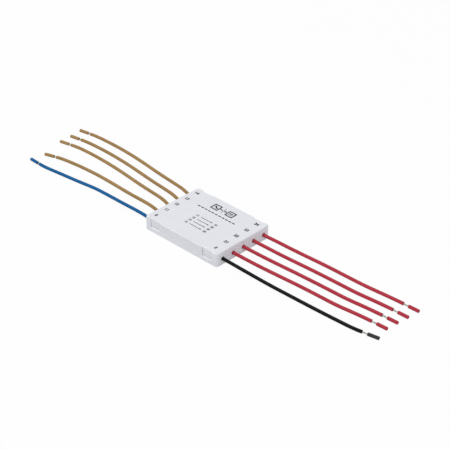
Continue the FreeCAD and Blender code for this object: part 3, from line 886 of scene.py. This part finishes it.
rule = bmesh.new()
dash_start = -RULE_HALF
while dash_start < RULE_HALF:
    ink_stroke(rule, [(dash_start, RULE_Y), (min(dash_start + RULE_DASH, RULE_HALF), RULE_Y)], STROKE)
    dash_start += RULE_DASH + RULE_SPACE
ink_piece(rule, "dashed_rule")

for row, y in enumerate(ROW_Y):
    printed_number(f"table_input_{row}", LEFT_NUMBERS[row + 1], -ROW_NUMBER_X, y, ROW_HEIGHT)
    printed_number(f"table_output_{row}", RIGHT_NUMBERS[row + 1], ROW_NUMBER_X, y, ROW_HEIGHT)
    arrow = bmesh.new()
    head = ROW_ARROW_HALF - ROW_HEAD_LONG
    ink_stroke(arrow, [(-ROW_ARROW_HALF, y), (head + UNDER_THE_HEAD, y)], ROW_ARROW_STROKE)
    ink_patch(arrow, [(head, y - ROW_HEAD_HALF), (ROW_ARROW_HALF, y), (head, y + ROW_HEAD_HALF)])
    ink_piece(arrow, f"table_arrow_{row}")
print("prints in all:", len(prints))

# %% [markdown]
# Pad-printing ink is a matt near-black. The pad never lays it quite evenly, so the film is a little greyer
# and rougher where it is thin. One flat black would look like a hole in the lid, so the helper that made the
# board's finishes mixes two near blacks in patches of a few hundredths of a millimetre.

# %% Ink
ink = speckled(patch=0.06 * MM, detail=3.0, colours=(linear(8, 8, 9), linear(26, 26, 28)),
               roughness=0.5, rougher_by=0.15, depth=0.004 * MM, bump_strength=0.5, gloss=0.15)
give(finish("pad_printed_ink", ink), prints)
print("ink on", len(prints), "prints")

# %% [markdown]
# The photograph stands the module on pure white. More light would wash out the pale case, so the white is
# made where only the camera sees it: rays from the camera, and those in reflections, find a world and a
# floor that are white or nearly so. Everything else is lit by a calm, very faintly blue sky and two lamps.

# %% World and floor
AMBIENT = 0.53
AMBIENT_SHADE, SEEN_WHITE = (0.96, 0.98, 1.0, 1.0), (1.0, 1.0, 1.0, 1.0)
PAPER_SHADE = (0.8, 0.8, 0.8, 1.0)
FLOOR_GLOW = 0.95
FLOOR_HALF, FLOOR_DROP = 1.5, 0.02 * MM


def seen_directly(tree):
    """1 on rays from the camera and on those in reflections and glass."""
    rays = [Flow.node(tree, "ShaderNodeLightPath", output=f"Is {kind} Ray")
            for kind in ("Camera", "Glossy", "Transmission")]
    return rays[0] + rays[1] + rays[2] > 0.5


world = bpy.data.worlds.new("white_studio")
bpy.context.scene.world = world
world.use_nodes = True
sky = world.node_tree
sky.nodes.clear()
seen = seen_directly(sky)
background = Flow.node(sky, "ShaderNodeBackground", None,
                       {"Color": mix_colour(sky, seen, AMBIENT_SHADE, SEEN_WHITE),
                        "Strength": AMBIENT + (1 - AMBIENT) * seen})
lead_out(sky, background, "ShaderNodeOutputWorld")

floor_shape = bmesh.new()
bmesh.ops.create_grid(floor_shape, x_segments=1, y_segments=1, size=FLOOR_HALF)
floor_mesh = bpy.data.meshes.new("studio_floor")
floor_shape.to_mesh(floor_mesh)
floor_shape.free()
floor = bpy.data.objects.new("studio_floor", floor_mesh)
floor.location.z = -FLOOR_DROP
bpy.context.scene.collection.objects.link(floor)
floor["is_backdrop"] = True

paper = bpy.data.materials.new("white_paper")
paper.use_nodes = True
sheet = paper.node_tree
sheet.nodes.clear()
matt = Flow.node(sheet, "ShaderNodeBsdfDiffuse", None, {"Color": PAPER_SHADE})
glow = Flow.node(sheet, "ShaderNodeEmission", None, {"Color": SEEN_WHITE, "Strength": 1.0})
mixed = Flow.node(sheet, "ShaderNodeMixShader", None,
                  {0: seen_directly(sheet) * FLOOR_GLOW, 1: matt, 2: glow})
lead_out(sheet, mixed, "ShaderNodeOutputMaterial")
floor.data.materials.append(paper)
print("ambient", AMBIENT, "floor glow to the camera", FLOOR_GLOW)

# %% [markdown]
# The photograph's lid is the brightest face, the long side is a little darker, and the right-hand end is the
# darkest. So the main lamp, which is slightly warm, hangs almost overhead, on the left, and a weak one from
# the right lifts that end.

# %% Lamps
# where it stands and how wide it is, in metres, its power in watts, and its tint
LAMPS = {
    "key_lamp": ((-0.5, -0.42, 1.24), 0.8, 8.5, (1.0, 0.985, 0.955)),
    "fill_lamp": ((0.9, -0.35, 0.6), 0.9, 3.0, (1.0, 1.0, 1.0)),
}
for name, (where, size, power, tint) in LAMPS.items():
    lamp = bpy.data.lights.new(name, "AREA")
    lamp.shape = "DISK"
    lamp.size = size
    lamp.energy = power
    lamp.color = tint
    stand = bpy.data.objects.new(name, lamp)
    stand.location = where
    stand.rotation_euler = Vector(where).to_track_quat("Z", "Y").to_euler()
    bpy.context.scene.collection.objects.link(stand)
bpy.context.scene.view_settings.view_transform = "Standard"
print("lamps:", ", ".join(LAMPS))

# %% [markdown]
# Dressing must not change the size of the object, so the box of the finished model is printed next to the
# box that was measured straight after loading.

# %% Keep both sizes, and finish
visual_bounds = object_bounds()
sizes = {"cad": [list(corner) for corner in cad_bounds],
         "visual": [list(corner) for corner in visual_bounds]}
for name, (low, high) in sizes.items():
    print(name, "box in mm:", [round((h - l) / MM, 2) for l, h in zip(low, high)])
